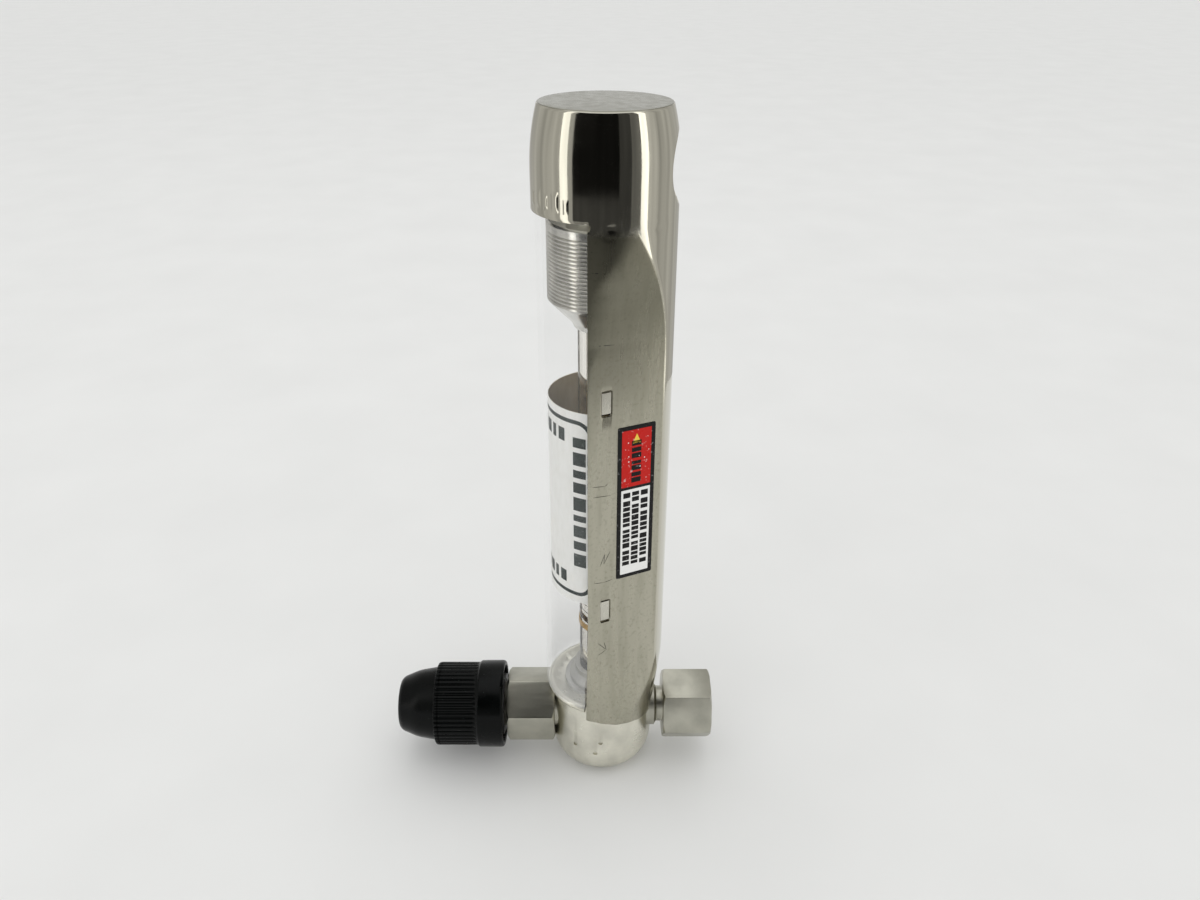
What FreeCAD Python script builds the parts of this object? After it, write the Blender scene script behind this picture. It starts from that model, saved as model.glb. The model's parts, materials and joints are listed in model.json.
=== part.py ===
import FreeCAD, Part
import math
import os
import Sketcher

# Purge flowmeter with a built-in needle valve, in millimetres.
# Frame: +Z up, origin at the centre of the foot, on the axis of the metering tube.
# The window, the clear shield and the knob face -Y. The inlet and the outlet face +Y.

doc = FreeCAD.newDocument("purge_flowmeter")
dims = doc.addObject("Spreadsheet::Sheet", "dims")


class Size:
    """A number that remembers how it comes from the cells of the sheet."""

    def __init__(self, value, text):
        self.value = value
        self.text = text

    def __add__(self, other):
        other = sizeOf(other)
        return Size(self.value + other.value, f"({self.text} + {other.text})")

    def __sub__(self, other):
        other = sizeOf(other)
        return Size(self.value - other.value, f"({self.text} - {other.text})")

    def __mul__(self, factor):
        return Size(self.value * factor, f"({self.text} * {factor:.9g})")

    def __neg__(self):
        return Size(-self.value, f"(0 - {self.text})")

    def __rsub__(self, other):
        return sizeOf(other) - self

    __radd__ = __add__
    __rmul__ = __mul__


def sizeOf(number):
    if isinstance(number, Size):
        return number
    return Size(float(number), f"({float(number):.9g})")


# ---- driving dimensions ----

drivingSizes = {
    # housing
    "overall_height": 164.0,
    "shell_radius": 14.8,
    "shell_wall": 0.6,
    "cap_top_radius": 13.15,
    "cap_bulge_start": 152.0,
    "cap_bulge_radius": 44.5,
    "rim_height": 143.9,
    "collar_radius": 13.05,
    "window_edge": 3.4,
    "flat_distance": 11.75,
    "flat_angle": 24.4,
    "port_hole_radius": 7.43,
    "outlet_height": 152.0,
    # base
    "base_radius": 12.55,
    "base_round": 6.8,
    "base_top": 23.4,
    "bead_radius": 1.0,
    "valve_axis_height": 14.0,
    "hex_across_flats": 16.0,
    "pipe_bore": 5.6,
    # metering tube and its clamp
    "tube_radius": 5.6,
    "tube_bottom": 27.6,
    "tube_top": 120.4,
    "bore_bottom": 3.3,
    "bore_top": 3.9,
    "plug_radius": 11.9,
    "plug_top": 141.8,
    "plug_thread_end": 126.0,
    "plug_pitch": 0.8,
    "neck_radius": 7.9,
    # shield and what lies inside it
    "shield_radius": 14.05,
    "shield_wall": 1.3,
    "tag_radius": 12.3,
    "tag_bottom": 54.5,
    "tag_top": 103.5,
    # needle valve
    "stem_radius": 2.0,
    "knob_rim": 25.1,
    "knob_end": 52.1,
    "knob_radius": 11.0,
    "grip_radius": 10.5,
    "rib_count": 48.0,
}


def fillSheet():
    """Writes each size as plain text with a word for its alias."""
    sizes = {}
    for row, (name, value) in enumerate(drivingSizes.items(), start=1):
        dims.set(f"A{row}", name)
        dims.set(f"B{row}", f"{value:g}")
        dims.setAlias(f"B{row}", name)
        sizes[name] = Size(value, f"dims.{name}")
    doc.recompute()
    return sizes


d = fillSheet()
runClear = 0.05                       # radial clearance of a running fit
flatAngle = drivingSizes["flat_angle"]
flatCos = math.cos(math.radians(flatAngle))
flatSin = math.sin(math.radians(flatAngle))

# places along the axis of the valve and the inlet, which is parallel to Y
gripEnd = -42.6                       # where the ribbed grip meets the nose
screwPlace = -38.0                    # centre of the set screw
hexOuterEnd = -24.2
valveFace = -12.1                     # where the valve body seats on the base
inletHexStart = 15.6
inletHexEnd = 27.8
spigotRadius = 5.6
inletNeck = 5.4
stemBore = d["stem_radius"] + runClear

floatFoot = 32.9                      # height of the float's tip when no gas flows
slotHeights = {"lower": (50.2, 56.6), "upper": (103.3, 109.3)}


# ---- helpers ----

def newBody(name, height=None):
    """A body named after its piece, raised to the height of its own axis."""
    body = doc.addObject("PartDesign::Body", name)
    body.Label = name
    if height is not None:
        body.setExpression("Placement.Base.z", sizeOf(height).text)
    return body


def originPlane(body, role):
    return next(f for f in body.Origin.OriginFeatures if f.Role == role)


def arcBetween(start, end, radius):
    """The arc between two corners: it bulges right of its direction, or left if negative."""
    chord = end - start
    side = FreeCAD.Vector(-chord.y, chord.x, 0).normalize()
    reach = math.sqrt(max(radius * radius - chord.Length ** 2 / 4, 0))
    centre = (start + end) * 0.5 + side * math.copysign(reach, radius)
    first, last = (start, end) if radius > 0 else (end, start)
    angles = [math.atan2(p.y - centre.y, p.x - centre.x) for p in (first, last)]
    if angles[1] <= angles[0]:
        angles[1] += 2 * math.pi
    circle = Part.Circle(centre, FreeCAD.Vector(0, 0, 1), abs(radius))
    return Part.ArcOfCircle(circle, angles[0], angles[1])


def outline(body, name, plane, corners, turn=0.0, lift=None):
    """A closed sketch. A corner is (x, y), or (x, y, radius) where an arc leaves it."""
    sketch = body.newObject("Sketcher::SketchObject", name)
    sketch.AttachmentSupport = (originPlane(body, plane), [""])
    sketch.MapMode = "FlatFace"
    rotation = FreeCAD.Rotation(FreeCAD.Vector(0, 1, 0), turn)
    sketch.AttachmentOffset = FreeCAD.Placement(FreeCAD.Vector(0, 0, 0), rotation)
    if lift is not None:
        sketch.setExpression("AttachmentOffset.Base.z", sizeOf(lift).text)
    count = len(corners)
    points = [FreeCAD.Vector(sizeOf(c[0]).value, sizeOf(c[1]).value, 0) for c in corners]
    ends = []
    for i, corner in enumerate(corners):
        begin, end = points[i], points[(i + 1) % count]
        radius = sizeOf(corner[2]).value if len(corner) == 3 else 0
        edge = arcBetween(begin, end, radius) if radius else Part.LineSegment(begin, end)
        sketch.addGeometry(edge, False)
        ends.append((1, 2) if radius >= 0 else (2, 1))
    for i in range(count):
        follower = (i + 1) % count
        sketch.addConstraint(Sketcher.Constraint("Coincident", i, ends[i][1],
                                                 follower, ends[follower][0]))
    for i, corner in enumerate(corners):
        pinDown(sketch, i, ends[i][0], corner)
    return sketch


def pinDown(sketch, index, point, corner):
    """Holds one corner at its expressions and gives an arc its radius."""
    for kind, size in zip(("DistanceX", "DistanceY"), corner[:2]):
        size = sizeOf(size)
        number = sketch.addConstraint(Sketcher.Constraint(kind, -1, 1, index, point, size.value))
        sketch.setExpression(f"Constraints[{number}]", size.text)
    if len(corner) == 3:
        radius = sizeOf(corner[2])
        number = sketch.addConstraint(Sketcher.Constraint("Radius", index, abs(radius.value)))
        sketch.setExpression(f"Constraints[{number}]", f"abs({radius.text})")


def turned(body, name, plane, corners, angle=360.0, kind="Revolution", lift=None):
    """Material turned, or cut with kind Groove, about the sketch's upright axis."""
    sketch = outline(body, name + "_outline", plane, corners, lift=lift)
    feature = body.newObject("PartDesign::" + kind, name)
    feature.Profile = sketch
    feature.ReferenceAxis = (sketch, ["V_Axis"])
    feature.Angle = angle
    feature.Midplane = angle < 360
    sketch.Visibility = False
    body.Tip = feature
    return feature


def padded(body, name, plane, corners, length, both=False, turn=0.0, lift=None, kind="Pad"):
    """Material padded, or cut with kind Pocket, from a closed outline."""
    sketch = outline(body, name + "_outline", plane, corners, turn, lift)
    feature = body.newObject("PartDesign::" + kind, name)
    feature.Profile = sketch
    feature.setExpression("Length", sizeOf(length).text)
    feature.Midplane = both
    body.Tip = feature
    return feature


def ring(name, inner, outer, low, high, plane="XZ_Plane", height=None):
    """A plain washer or sleeve."""
    body = newBody(name, height)
    turned(body, name + "_ring", plane, [(inner, low), (outer, low), (outer, high), (inner, high)])
    return body


def circleCorners(radius, offset, across=0.0):
    """A circle as four quarter arcs, its centre offset along the sketch's upright axis."""
    offset = sizeOf(offset)
    across = sizeOf(across)
    return [(across - radius, offset, radius), (across, offset - radius, radius),
            (across + radius, offset, radius), (across, offset + radius, radius)]


def oRing(name, centreRadius, cordRadius, position, plane="XZ_Plane", height=None):
    """A round-section seal, turned about the axis."""
    body = newBody(name, height)
    turned(body, name + "_cord", plane, circleCorners(cordRadius, position, centreRadius))
    return body


def hexCorners(acrossFlats, startDegrees):
    reach = acrossFlats * (1 / math.sqrt(3))
    corners = []
    for step in range(6):
        angle = math.radians(startDegrees + 60 * step)
        corners.append((reach * math.cos(angle), reach * math.sin(angle)))
    return corners


def hexEndChamfer(body, name, acrossFlats, end, inward):
    """Turns the corners of a hex down where it ends; inward is +1 or -1 along the axis."""
    reach = acrossFlats * (1 / math.sqrt(3))
    turned(body, name, "XY_Plane", [
        (reach * 0.90, end), (reach * 1.1, end), (reach * 1.1, end + inward * 1.15)],
        kind="Groove")


def panelPoint(distance, along, height):
    """A point of the +X side panel: its distance from the axis, then rearwards along the panel."""
    return FreeCAD.Vector(distance * flatCos - along * flatSin,
                          distance * flatSin + along * flatCos, height)


def panelBox(name, distance, thickness, along, width, low, high, side):
    """A box that lies in a side panel; side is +1 for the +X panel and -1 for the other."""
    box = doc.addObject("Part::Box", name)
    for side_name, size in (("Length", thickness), ("Width", width), ("Height", high - low)):
        box.setExpression(side_name, sizeOf(size).text)
    corner = panelPoint(sizeOf(distance).value, along, sizeOf(low).value)
    turn = flatAngle
    if side < 0:
        far = panelPoint(sizeOf(distance).value, along + width, sizeOf(low).value)
        corner = FreeCAD.Vector(-far.x, far.y, far.z)
        turn = 180 - flatAngle
    box.Placement = FreeCAD.Placement(corner, FreeCAD.Rotation(FreeCAD.Vector(0, 0, 1), turn))
    return box


def rod(name, radius, start, end, height):
    """A plain cylinder along Y, used to cut round holes."""
    cylinder = doc.addObject("Part::Cylinder", name)
    cylinder.setExpression("Radius", sizeOf(radius).text)
    cylinder.Height = end - start
    cylinder.Placement = FreeCAD.Placement(
        FreeCAD.Vector(0, start, sizeOf(height).value),
        FreeCAD.Rotation(FreeCAD.Vector(1, 0, 0), -90))
    return cylinder


def crossRod(name, radius, depth, height):
    """A long cylinder along X, centred on the middle plane."""
    cylinder = doc.addObject("Part::Cylinder", name)
    cylinder.Radius = radius
    cylinder.Height = 40.0
    cylinder.Placement = FreeCAD.Placement(
        FreeCAD.Vector(-20.0, 0, 0), FreeCAD.Rotation(FreeCAD.Vector(0, 1, 0), 90))
    cylinder.setExpression("Placement.Base.y", sizeOf(depth).text)
    cylinder.setExpression("Placement.Base.z", sizeOf(height).text)
    return cylinder


# ---- housing ----

def shellForm(name, inset, foot, bottom):
    """The solid shape of the housing, or of its hollow when inset by the wall."""
    body = newBody(name)
    side = d["shell_radius"] - inset
    turned(body, name + "_round", "XZ_Plane", [
        (0, bottom),
        (foot, bottom),
        (foot, 18.3),
        (side - 0.4, 29.5, 52.8),
        (side, 36.0),
        (side, d["cap_bulge_start"], d["cap_bulge_radius"]),
        (d["cap_top_radius"] - inset, d["overall_height"] - inset),
        (0, d["overall_height"] - inset)])
    flat = d["flat_distance"] - inset
    for label, turn in (("right", flatAngle), ("left", 180 - flatAngle)):
        padded(body, f"{name}_{label}_panel", "XZ_Plane", [
            (flat + 3.4, 143.0),
            (flat + 2.7, 136.5),
            (flat + 1.0, 127.0),
            (flat, 118.0),
            (flat, 38.0),
            (flat + 2.6, 20.0),
            (flat + 2.6, 5.0),
            (flat + 20.0, 5.0),
            (flat + 20.0, 143.0)], 80.0, both=True, turn=turn, kind="Pocket")
    return body


def windowCutter():
    """The front opening: everything ahead of the window's side edges, below the rim."""
    body = newBody("window_cutter")
    edge = -d["window_edge"]
    padded(body, "window", "YZ_Plane", [
        (edge, d["rim_height"]), (edge, 50.0), (edge - 0.55, 22.0), (edge - 0.55, 5.0),
        (-30.0, 5.0), (-30.0, d["rim_height"])], 60.0, both=True)
    return body


def seamCutter():
    """Trims the lower edge of the housing, which runs down towards the back."""
    body = newBody("seam_cutter")
    padded(body, "seam", "YZ_Plane", [
        (-20.0, 23.2), (20.0, 15.2), (20.0, 2.0), (-20.0, 2.0)], 60.0, both=True)
    return body


def housingShell():
    """One drawn stainless cover: round cap, open front, pressed side panels, round back."""
    wall = doc.addObject("Part::Cut", "shell_wall")
    wall.Base = shellForm("shell_outside", 0, d["collar_radius"], 14.0)
    wall.Tool = shellForm("shell_inside", d["shell_wall"], d["base_radius"] + runClear, 10.0)
    cutters = [
        windowCutter(),
        seamCutter(),
        rod("outlet_hole", d["port_hole_radius"], 2.0, 20.0, d["outlet_height"]),
        rod("inlet_clearance", 6.0, 2.0, 20.0, d["valve_axis_height"]),
        crossRod("corner_relief", 1.1, -d["window_edge"] - 0.2, d["rim_height"] - 0.6),
    ]
    for side, word in ((1, "right"), (-1, "left")):
        for place, (low, high) in slotHeights.items():
            cutters.append(panelBox(f"{place}_{word}_slot", d["flat_distance"] - 2.0, 4.0,
                                    -6.0, 2.55, low, high, side))
    tools = doc.addObject("Part::MultiFuse", "shell_openings")
    tools.Shapes = cutters
    shell = doc.addObject("Part::Cut", "housing_shell")
    shell.Base = wall
    shell.Tool = tools
    shell.Label = "housing_shell"
    return shell


def clearShield():
    """A clear plastic gutter that closes the window, standing on the bead of the base."""
    body = newBody("clear_shield")
    inner = d["shield_radius"] - d["shield_wall"]
    low = d["base_top"] + 0.9
    sector(body, "gutter", inner, d["shield_radius"], low, d["rim_height"] + 0.6, 152.0)
    front = -d["window_edge"] - 0.8
    padded(body, "foot_relief", "YZ_Plane", [
        (front, 20.0), (0, 20.0), (0, 33.0), (front, 33.0)], 40.0, both=True, kind="Pocket")
    return body


def sector(body, name, inner, outer, low, high, angle):
    """Part of a ring, centred on the front (-Y) of the tube axis."""
    feature = turned(body, name, "YZ_Plane", [
        (-outer, low), (-inner, low), (-inner, high), (-outer, high)], angle)
    return feature


def paperTag():
    """The notice, rolled up and slipped in behind the shield."""
    body = newBody("paper_tag")
    sector(body, "sheet", d["tag_radius"] - 0.2, d["tag_radius"], d["tag_bottom"],
           d["tag_top"], 166.0)
    return body


def ratingLabel():
    """The foil label stuck on the +X side panel."""
    label = panelBox("rating_label", d["flat_distance"], 0.12, -2.1, 8.9, 61.6, 100.1, 1)
    label.Label = "rating_label"
    return label


def scalePlate():
    """The backing plate behind the tube; its ears are sprung into the slots of the housing."""
    body = newBody("scale_plate")
    padded(body, "plate", "XY_Plane", [(-8.8, 6.5), (8.8, 6.5), (8.8, 7.3), (-8.8, 7.3)],
           66.0, lift=48.0)
    for place, (low, high) in slotHeights.items():
        for side, word in ((1, "right"), (-1, "left")):
            padded(body, f"{place}_{word}_ear", "XY_Plane", earOutline(side),
                   high - low - 1.2, lift=low + 0.6)
    return body


def earOutline(side):
    """An ear seen from above: along the panel from the plate, then out through the slot."""
    outer = drivingSizes["flat_distance"] - drivingSizes["shell_wall"] - 0.1
    route = [(outer - 0.7, 3.3), (outer - 0.7, -5.8), (outer + 0.5, -5.8),
             (outer + 0.5, -3.7), (outer, -3.7), (outer, 3.3)]
    points = [panelPoint(distance, along, 0) for distance, along in route]
    corners = [(side * p.x, p.y) for p in points]
    return corners if side > 0 else corners[::-1]


# ---- base ----

def baseBlock():
    """Round bottomed stainless base, bored for the inlet, the valve and the tube."""
    body = newBody("base_block")
    foot = d["base_radius"] - d["base_round"]
    turned(body, "billet", "XZ_Plane", [
        (0, 0), (foot, 0, d["base_round"]), (d["base_radius"], d["base_round"]),
        (d["base_radius"], d["base_top"]), (0, d["base_top"])])
    beadHeight = d["base_top"] - 0.1
    beadRing = d["base_radius"] + 0.15
    turned(body, "bead", "YZ_Plane", [
        (3.0 - beadRing, beadHeight - d["bead_radius"]),
        (3.0 - beadRing, beadHeight),
        (0.4 - beadRing, beadHeight + d["bead_radius"] * 0.9),
        (-beadRing, beadHeight + d["bead_radius"], d["bead_radius"]),
        (-beadRing - d["bead_radius"], beadHeight, d["bead_radius"]),
        (-beadRing, beadHeight - d["bead_radius"])], 142.0)
    turned(body, "cross_bore", "XY_Plane", [
        (0, -14.5), (9.7, -14.5), (9.7, valveFace), (spigotRadius, valveFace),
        (spigotRadius, -5.5), (3.0, -5.5),
        (3.0, -3.0), (2.2, -3.0), (2.2, 7.0), (inletNeck, 7.0), (inletNeck, 14.5), (0, 14.5)],
        kind="Groove", lift=d["valve_axis_height"])
    turned(body, "plenum", "XZ_Plane", [
        (0, 20.8), (9.0, 20.8), (9.0, d["base_top"] + 3.0), (0, d["base_top"] + 3.0)],
        kind="Groove")
    padded(body, "riser", "XY_Plane", circleCorners(1.4, -7.2), 7.0, kind="Pocket", lift=21.0)
    return body


def inletFitting():
    """Hex bodied inlet with a female pipe port, screwed into the back of the base."""
    body = newBody("inlet_fitting", d["valve_axis_height"])
    padded(body, "inlet_hex", "XZ_Plane", hexCorners(d["hex_across_flats"], 50.0),
           inletHexEnd - inletHexStart, lift=-inletHexEnd)
    hexEndChamfer(body, "outer_chamfer", d["hex_across_flats"], inletHexEnd, -1)
    hexEndChamfer(body, "inner_chamfer", d["hex_across_flats"], inletHexStart, 1)
    turned(body, "inlet_neck", "XY_Plane", [
        (0, 7.0), (inletNeck, 7.0), (inletNeck, 13.4), (inletNeck - 0.9, 14.0),
        (inletNeck - 0.9, inletHexStart), (inletNeck, inletHexStart + 0.5), (0, inletHexStart + 0.5)])
    turned(body, "inlet_bore", "XY_Plane", [
        (0, 6.0), (2.4, 6.0), (2.4, 16.2), (d["pipe_bore"], 17.6),
        (d["pipe_bore"], inletHexEnd - 0.9), (d["pipe_bore"] + 1.0, inletHexEnd + 0.1),
        (0, inletHexEnd + 0.1)], kind="Groove")
    return body


def valveBody():
    """Hex body of the needle valve: spigot in the base, bonnet neck inside the knob."""
    body = newBody("valve_body", d["valve_axis_height"])
    padded(body, "valve_hex", "XZ_Plane", hexCorners(d["hex_across_flats"], 18.0),
           valveFace - hexOuterEnd, lift=-valveFace)
    hexEndChamfer(body, "outer_chamfer", d["hex_across_flats"], hexOuterEnd, 1)
    hexEndChamfer(body, "inner_chamfer", d["hex_across_flats"], valveFace, -1)
    turned(body, "spigot", "XY_Plane", [
        (0, valveFace - 1.0), (spigotRadius, valveFace - 1.0), (spigotRadius, -8.8), (0, -8.8)])
    turned(body, "bonnet_neck", "XY_Plane", [
        (0, -27.2), (5.6, -27.2), (5.6, hexOuterEnd + 1.0), (0, hexOuterEnd + 1.0)])
    turned(body, "stem_bore", "XY_Plane", [
        (0, -28.0), (3.6, -28.0), (3.6, -21.0), (stemBore, -21.0), (stemBore, -14.0),
        (3.2, -14.0), (3.2, -8.0), (0, -8.0)], kind="Groove")
    return body


def packingNut():
    """Small cap nut that presses the packing down around the stem."""
    body = newBody("packing_nut", d["valve_axis_height"])
    padded(body, "nut_hex", "XZ_Plane", hexCorners(14.0, 30.0), 4.2, lift=25.0)
    hexEndChamfer(body, "nut_chamfer", sizeOf(14.0), -29.2, 1)
    turned(body, "nut_thread", "XY_Plane", [
        (0, -27.2), (5.6, -27.2), (5.6, -24.5), (0, -24.5)], kind="Groove")
    turned(body, "gland", "XY_Plane", [
        (1.0, -28.0), (3.6, -28.0), (3.6, -24.6), (1.0, -24.6)])
    turned(body, "nut_hole", "XY_Plane", [
        (0, -30.0), (stemBore, -30.0), (stemBore, -24.0), (0, -24.0)], kind="Groove")
    return body


def needleTip():
    """Swivelling needle: it slides with the stem but doesn't turn in the seat."""
    body = newBody("needle_tip", d["valve_axis_height"])
    turned(body, "needle", "XY_Plane", [
        (0, -12.0), (0.75, -12.0), (0.75, -9.5), (1.6, -9.5), (1.6, -6.8), (0.95, -6.8),
        (0.2, -3.4), (0, -3.4)])
    return body


def valveStem():
    body = newBody("valve_stem", d["valve_axis_height"])
    turned(body, "stem", "XY_Plane", [
        (0, -44.0), (d["stem_radius"], -44.0), (d["stem_radius"], -9.5), (0.8, -9.5),
        (0.8, -12.2), (0, -12.2)])
    return body


def controlKnob():
    """Moulded knob: hollow skirt over the packing nut, then a ribbed grip."""
    body = newBody("control_knob", d["valve_axis_height"])
    rim = -d["knob_rim"]
    cavity = d["knob_radius"] - 1.2
    turned(body, "moulding", "XY_Plane", [
        (3.4, gripEnd), (d["grip_radius"] - 0.5, gripEnd), (d["grip_radius"], gripEnd + 0.5),
        (d["grip_radius"], -31.8), (d["knob_radius"] - 0.1, -31.4), (d["knob_radius"], rim - 0.5),
        (d["knob_radius"] - 0.4, rim), (cavity, rim), (cavity, -32.8), (3.4, -32.8)])
    groove = padded(body, "rib_groove", "XZ_Plane", [
        (-0.36, d["grip_radius"] + 0.3), (-0.14, d["grip_radius"] - 0.36),
        (0.14, d["grip_radius"] - 0.36), (0.36, d["grip_radius"] + 0.3)],
        -32.2 - gripEnd, kind="Pocket", lift=-gripEnd)
    ribs = body.newObject("PartDesign::PolarPattern", "ribs")
    ribs.Originals = [groove]
    ribs.Axis = (originPlane(body, "Y_Axis"), [""])
    ribs.Angle = 360
    ribs.setExpression("Occurrences", "dims.rib_count")
    body.Tip = ribs
    padded(body, "screw_hole", "XY_Plane", circleCorners(1.3, screwPlace), 12.0, kind="Pocket")
    return body


def knobBush():
    """Brass bush moulded into the knob, cross-drilled for the set screw."""
    body = ring("knob_bush", d["stem_radius"], 3.4, gripEnd + 0.4, -32.8, "XY_Plane",
                d["valve_axis_height"])
    padded(body, "bush_hole", "XY_Plane", circleCorners(1.3, screwPlace), 12.0, kind="Pocket")
    return body


def setScrew():
    body = newBody("set_screw", d["valve_axis_height"])
    padded(body, "screw", "XY_Plane", circleCorners(1.2, screwPlace), 6.0,
           lift=-8.0)
    return body


def knobCap():
    """Smooth rounded nose that closes the end of the knob."""
    body = newBody("knob_cap", d["valve_axis_height"])
    tip = -d["knob_end"]
    turned(body, "nose", "XY_Plane", [
        (0, tip), (5.0, tip, 1.9), (6.6, tip + 1.2, 13.5), (9.35, gripEnd), (2.2, gripEnd),
        (2.2, -44.3), (0, -44.3)])
    return body


# ---- tube, float and clamp ----

def tubeSeat():
    """Stepped, coned seat that carries the foot of the glass tube."""
    body = newBody("tube_seat")
    top = d["base_top"]
    turned(body, "seat", "XZ_Plane", [
        (2.6, 21.6), (8.95, 21.6), (8.95, top), (9.35, top), (9.35, top + 1.0), (8.1, top + 1.0),
        (8.1, top + 1.8), (6.9, top + 3.6), (6.9, top + 5.0), (5.7, top + 5.0),
        (5.7, 26.0), (2.6, 26.0)])
    return body


def meteringTube():
    """Glass tube with a bore that widens upwards."""
    body = newBody("metering_tube")
    turned(body, "glass", "XZ_Plane", [
        (d["bore_bottom"], d["tube_bottom"]), (d["tube_radius"], d["tube_bottom"]),
        (d["tube_radius"], d["tube_top"]), (d["bore_top"], d["tube_top"])])
    return body


def floatPlummet():
    """Plummet: pointed foot, slim waist and a sharp edged head that is read at the scale."""
    body = newBody("float")
    turned(body, "plummet", "XZ_Plane", [
        (0, floatFoot), (0.6, floatFoot + 0.3), (2.5, floatFoot + 3.4), (2.5, floatFoot + 8.2),
        (3.12, floatFoot + 9.4), (3.12, floatFoot + 10.0), (1.8, floatFoot + 11.0),
        (0, floatFoot + 11.0)])
    return body


def clampPlug():
    """Ring-threaded aluminium plug: turned on the neck of the outlet block to grip the tube."""
    body = newBody("clamp_plug")
    crest = d["plug_radius"]
    top = d["plug_top"]
    end = d["plug_thread_end"]
    bore = d["neck_radius"] + runClear
    turned(body, "plug", "XZ_Plane", [
        (5.7, 119.0), (6.4, 119.0), (6.9, 120.2), (crest - 0.5, end - 1.2), (crest, end - 0.6),
        (crest, top - 0.4), (crest - 0.4, top), (bore, top), (bore, 124.5), (3.0, 124.5),
        (3.0, 122.0), (5.7, 122.0)])
    thread = turned(body, "thread_groove", "XZ_Plane", [
        (crest - 0.42, end + 0.05), (crest + 0.2, end - 0.31), (crest + 0.2, end + 0.41)],
        kind="Groove")
    turns = body.newObject("PartDesign::LinearPattern", "thread")
    turns.Originals = [thread]
    turns.Direction = (originPlane(body, "Z_Axis"), [""])
    turns.Length = drivingSizes["plug_pitch"] * 17
    turns.Occurrences = 18
    body.Tip = turns
    return body


def outletBlock():
    """Block inside the cap: outlet port at the back, neck for the clamp plug below."""
    body = newBody("outlet_block")
    neck = d["neck_radius"]
    top = d["overall_height"] - d["shell_wall"] - 0.05
    turned(body, "block", "XZ_Plane", [
        (3.0, 128.0), (neck, 128.0), (neck, 130.1), (6.3, 130.1), (6.3, 131.9), (neck, 131.9),
        (neck, 145.0), (13.2, 145.0), (13.2, 157.0), (11.8, top), (0, top),
        (0, d["outlet_height"] + 3.0), (3.0, d["outlet_height"] + 3.0)])
    turned(body, "outlet_port", "XY_Plane", [
        (0, 1.0), (d["pipe_bore"] - 1.4, 1.0), (d["pipe_bore"], 2.2), (d["pipe_bore"], 11.0),
        (d["pipe_bore"] + 0.9, 11.9), (7.7, 11.9), (7.7, 15.0), (0, 15.0)],
        kind="Groove", lift=d["outlet_height"])
    return body


# ---- build and write ----

def buildPieces():
    """Makes every piece, in the order in which the meter is put together."""
    axis = d["valve_axis_height"]
    return [
        baseBlock(), tubeSeat(),
        ring("lower_gasket", 3.0, d["tube_radius"], 26.0, d["tube_bottom"]),
        ring("lower_float_stop", 1.5, 3.25, 27.8, 32.7),
        meteringTube(), floatPlummet(),
        ring("upper_float_stop", 1.5, 3.8, 107.4, 118.5),
        ring("upper_gasket", 3.4, 5.55, d["tube_top"], 122.0),
        clampPlug(), outletBlock(),
        oRing("neck_o_ring", 7.1, 0.8, 131.0),
        inletFitting(),
        valveBody(),
        ring("valve_orifice", 1.0, 3.0, -5.5, -3.0, "XY_Plane", axis),
        ring("stem_packing", stemBore, 3.6, -24.6, -21.0, "XY_Plane", axis),
        packingNut(), needleTip(), valveStem(), controlKnob(), knobBush(), setScrew(), knobCap(),
        housingShell(), scalePlate(), clearShield(), paperTag(), ratingLabel(),
    ]


def checkAndWrite(pieces):
    """Stops if anything failed, then writes each piece as its own file."""
    doc.recompute()
    for thing in doc.Objects:
        if {"Invalid", "Error"} & set(thing.State):
            raise RuntimeError(f"{thing.Name} failed: {thing.State}")
    os.makedirs("parts", exist_ok=True)
    for piece in pieces:
        shape = piece.Shape
        if shape.isNull() or not shape.isValid() or not shape.Solids:
            raise RuntimeError(f"{piece.Label} has no valid solid")
        shape.exportStep(f"parts/{piece.Label}.step")
        box = shape.BoundBox
        print(f"{piece.Label:18s} solids {len(shape.Solids)} volume {shape.Volume:9.2f}"
              f"  x {box.XMin:.2f} {box.XMax:.2f}  y {box.YMin:.2f} {box.YMax:.2f}"
              f"  z {box.ZMin:.2f} {box.ZMax:.2f}")


checkAndWrite(buildPieces())
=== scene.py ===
import bpy
import bmesh
import json
import math
import random
from mathutils import Matrix, Vector

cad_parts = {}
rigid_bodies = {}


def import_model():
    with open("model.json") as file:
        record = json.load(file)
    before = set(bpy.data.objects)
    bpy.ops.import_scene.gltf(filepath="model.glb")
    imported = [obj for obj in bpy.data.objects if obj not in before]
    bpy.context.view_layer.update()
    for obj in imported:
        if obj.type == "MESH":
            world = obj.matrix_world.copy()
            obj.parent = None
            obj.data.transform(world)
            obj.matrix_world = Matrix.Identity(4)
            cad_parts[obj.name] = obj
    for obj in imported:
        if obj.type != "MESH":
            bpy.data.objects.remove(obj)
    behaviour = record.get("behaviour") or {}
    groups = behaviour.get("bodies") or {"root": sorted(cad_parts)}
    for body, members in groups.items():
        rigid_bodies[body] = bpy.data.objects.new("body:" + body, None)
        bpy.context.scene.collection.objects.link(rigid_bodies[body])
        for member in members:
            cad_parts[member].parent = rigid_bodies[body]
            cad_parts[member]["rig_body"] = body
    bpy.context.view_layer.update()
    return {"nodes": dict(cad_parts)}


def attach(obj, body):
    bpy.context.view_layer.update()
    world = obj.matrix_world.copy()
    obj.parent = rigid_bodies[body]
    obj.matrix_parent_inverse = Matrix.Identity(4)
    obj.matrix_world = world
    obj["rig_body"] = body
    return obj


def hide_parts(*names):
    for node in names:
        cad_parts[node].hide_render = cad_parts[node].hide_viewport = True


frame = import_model()
mm = 0.001                       # sizes below are in millimetres, meshes are in metres
random.seed(7)
print("frame loaded:", len(frame["nodes"]), "nodes")


# small tools

def smooth(value):
    value = max(0.0, min(1.0, value))
    return value * value * (3 - 2 * value)


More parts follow.
